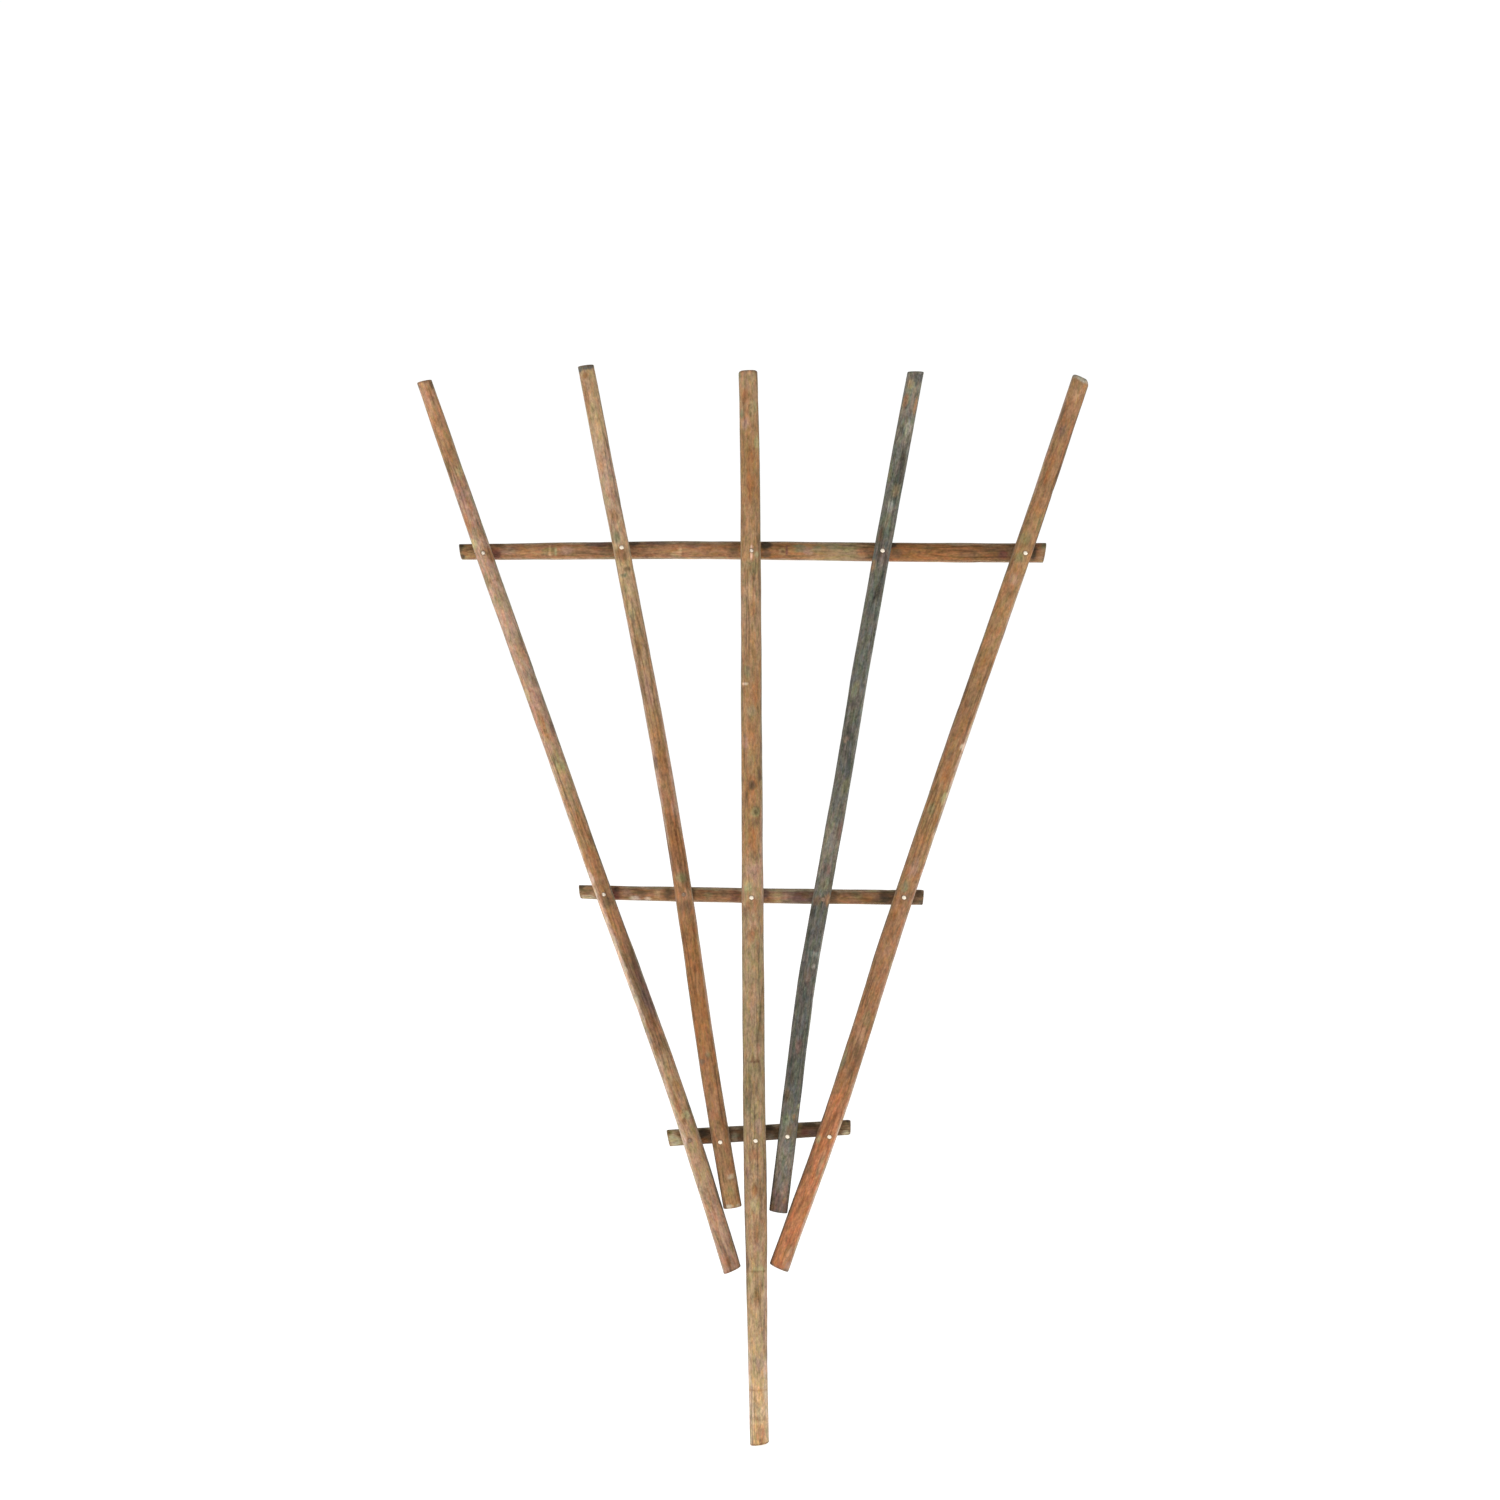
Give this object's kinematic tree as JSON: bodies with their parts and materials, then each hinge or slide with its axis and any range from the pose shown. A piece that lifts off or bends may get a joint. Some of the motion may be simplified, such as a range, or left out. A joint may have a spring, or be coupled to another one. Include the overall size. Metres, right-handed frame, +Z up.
{
  "type": "fan trellis",
  "caption": "Flat rustic fan trellis of bark-on wooden rods that spread upward, nailed to crossbars, with a longer middle stake that is pushed into the soil.",
  "frame": {"origin": "centre of the middle stake's sawn foot", "axes": "+Z up along the stake, +X to the right seen from the front, +Y to the back; the nail heads face -Y"},
  "size_m": [0.7602, 0.0491, 1.2203],
  "materials": {
    "upright_left_outer": "weathered pinkish-brown bark",
    "upright_left_inner": "weathered brown bark",
    "centre_stake": "weathered tan bark",
    "upright_right_inner": "slate-grey bark",
    "upright_right_outer": "orange-brown bark",
    "crossbar_top": "reddish-brown bark",
    "crossbar_middle": "brown bark",
    "crossbar_bottom": "dark olive-brown bark",
    "nail": "bright round wire nail"
  },
  "bodies": {
    "root": {"upright_left_outer": "upright_left_outer", "upright_left_inner": "upright_left_inner", "centre_stake": "centre_stake", "upright_right_inner": "upright_right_inner", "upright_right_outer": "upright_right_outer", "crossbar_top": "crossbar_top", "crossbar_middle": "crossbar_middle", "crossbar_bottom": "crossbar_bottom", "nail_top_left_outer": "nail", "nail_top_left_inner": "nail", "nail_top_stake": "nail", "nail_top_right_inner": "nail", "nail_top_right_outer": "nail", "nail_middle_left_outer": "nail", "nail_middle_left_inner": "nail", "nail_middle_stake": "nail", "nail_middle_right_inner": "nail", "nail_middle_right_outer": "nail", "nail_bottom_left_outer": "nail", "nail_bottom_left_inner": "nail", "nail_bottom_stake": "nail", "nail_bottom_right_inner": "nail", "nail_bottom_right_outer": "nail"}
  },
  "joints": []
}
